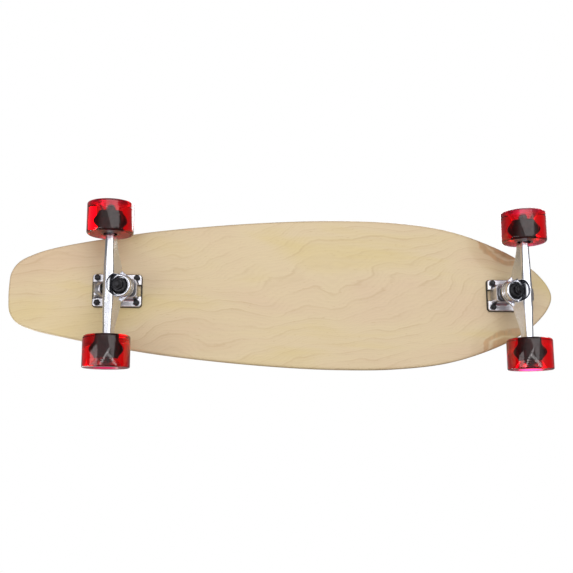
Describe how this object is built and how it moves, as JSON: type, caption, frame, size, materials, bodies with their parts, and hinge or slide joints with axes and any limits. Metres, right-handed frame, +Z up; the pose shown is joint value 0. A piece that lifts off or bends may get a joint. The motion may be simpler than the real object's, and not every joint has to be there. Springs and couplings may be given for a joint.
{
  "type": "longboard skateboard",
  "caption": "Kicktail longboard skateboard with a flat maple deck, bushing-sprung steering trucks and clear red urethane wheels on ball bearings.",
  "frame": {"origin": "on the ground under the middle of the board, which stands on its wheels", "axes": "+X to the nose along the deck, +Y to the rider's left along the axles, +Z up"},
  "size_m": [0.9204, 0.2622, 0.1331],
  "materials": {
    "maple": "clear satin lacquer over pale maple veneer",
    "grip_tape": "coarse black abrasive",
    "riser_rubber": "matt black",
    "polished_aluminium": "polished casting",
    "black_steel": "black oxide",
    "zinc_steel": "zinc plated",
    "black_urethane": "satin",
    "red_urethane": "clear red cast urethane",
    "core_nylon": "moulded black"
  },
  "bodies": {
    "board": {"deck": "maple", "grip_tape": "grip_tape", "nose_deck_bolt_1": "black_steel", "nose_lock_nut_1": "black_steel", "nose_deck_bolt_2": "black_steel", "nose_lock_nut_2": "black_steel", "nose_deck_bolt_3": "black_steel", "nose_lock_nut_3": "black_steel", "nose_deck_bolt_4": "black_steel", "nose_lock_nut_4": "black_steel", "nose_riser_pad": "riser_rubber", "nose_baseplate": "polished_aluminium", "nose_pivot_cup": "black_urethane", "nose_kingpin": "black_steel", "nose_kingpin_nut": "black_steel", "nose_bushing_board_side": "black_urethane", "nose_bushing_road_side": "black_urethane", "nose_washer_board_side": "zinc_steel", "nose_washer_road_side": "black_steel", "tail_deck_bolt_1": "black_steel", "tail_lock_nut_1": "black_steel", "tail_deck_bolt_2": "black_steel", "tail_lock_nut_2": "black_steel", "tail_deck_bolt_3": "black_steel", "tail_lock_nut_3": "black_steel", "tail_deck_bolt_4": "black_steel", "tail_lock_nut_4": "black_steel", "tail_riser_pad": "riser_rubber", "tail_baseplate": "polished_aluminium", "tail_pivot_cup": "black_urethane", "tail_kingpin": "black_steel", "tail_kingpin_nut": "black_steel", "tail_bushing_board_side": "black_urethane", "tail_bushing_road_side": "black_urethane", "tail_washer_board_side": "zinc_steel", "tail_washer_road_side": "black_steel"},
    "nose_hanger": {"nose_hanger": "polished_aluminium", "nose_axle": "zinc_steel", "nose_left_axle_nut": "black_steel", "nose_right_axle_nut": "black_steel"},
    "tail_hanger": {"tail_hanger": "polished_aluminium", "tail_axle": "zinc_steel", "tail_left_axle_nut": "black_steel", "tail_right_axle_nut": "black_steel"},
    "nose_left_wheel": {"nose_left_wheel_tyre": "red_urethane", "nose_left_wheel_core": "core_nylon", "nose_left_bearing_inner": "zinc_steel", "nose_left_bearing_outer": "zinc_steel"},
    "nose_right_wheel": {"nose_right_wheel_tyre": "red_urethane", "nose_right_wheel_core": "core_nylon", "nose_right_bearing_inner": "zinc_steel", "nose_right_bearing_outer": "zinc_steel"},
    "tail_left_wheel": {"tail_left_wheel_tyre": "red_urethane", "tail_left_wheel_core": "core_nylon", "tail_left_bearing_inner": "zinc_steel", "tail_left_bearing_outer": "zinc_steel"},
    "tail_right_wheel": {"tail_right_wheel_tyre": "red_urethane", "tail_right_wheel_core": "core_nylon", "tail_right_bearing_inner": "zinc_steel", "tail_right_bearing_outer": "zinc_steel"}
  },
  "joints": [
    {"name": "nose_steer", "type": "hinge", "parent": "board", "child": "nose_hanger", "pos_m": [0.3725, 0, 0.0495], "axis": [0.7584, 0, 0.6518], "range_deg": [-15, 15], "stiffness_Nm_per_rad": 60, "deforming": ["nose_bushing_board_side", "nose_bushing_road_side"]},
    {"name": "tail_steer", "type": "hinge", "parent": "board", "child": "tail_hanger", "pos_m": [-0.269, 0, 0.0495], "axis": [-0.7584, 0, 0.6518], "range_deg": [-15, 15], "stiffness_Nm_per_rad": 60, "deforming": ["tail_bushing_board_side", "tail_bushing_road_side"]},
    {"name": "nose_left_wheel_spin", "type": "hinge", "parent": "nose_hanger", "child": "nose_left_wheel", "pos_m": [0.39215, 0.1058, 0.037], "axis": [0, 1, 0], "continuous": true},
    {"name": "nose_right_wheel_spin", "type": "hinge", "parent": "nose_hanger", "child": "nose_right_wheel", "pos_m": [0.39215, -0.1058, 0.037], "axis": [0, 1, 0], "continuous": true},
    {"name": "tail_left_wheel_spin", "type": "hinge", "parent": "tail_hanger", "child": "tail_left_wheel", "pos_m": [-0.28865, 0.1058, 0.037], "axis": [0, 1, 0], "continuous": true},
    {"name": "tail_right_wheel_spin", "type": "hinge", "parent": "tail_hanger", "child": "tail_right_wheel", "pos_m": [-0.28865, -0.1058, 0.037], "axis": [0, 1, 0], "continuous": true}
  ]
}
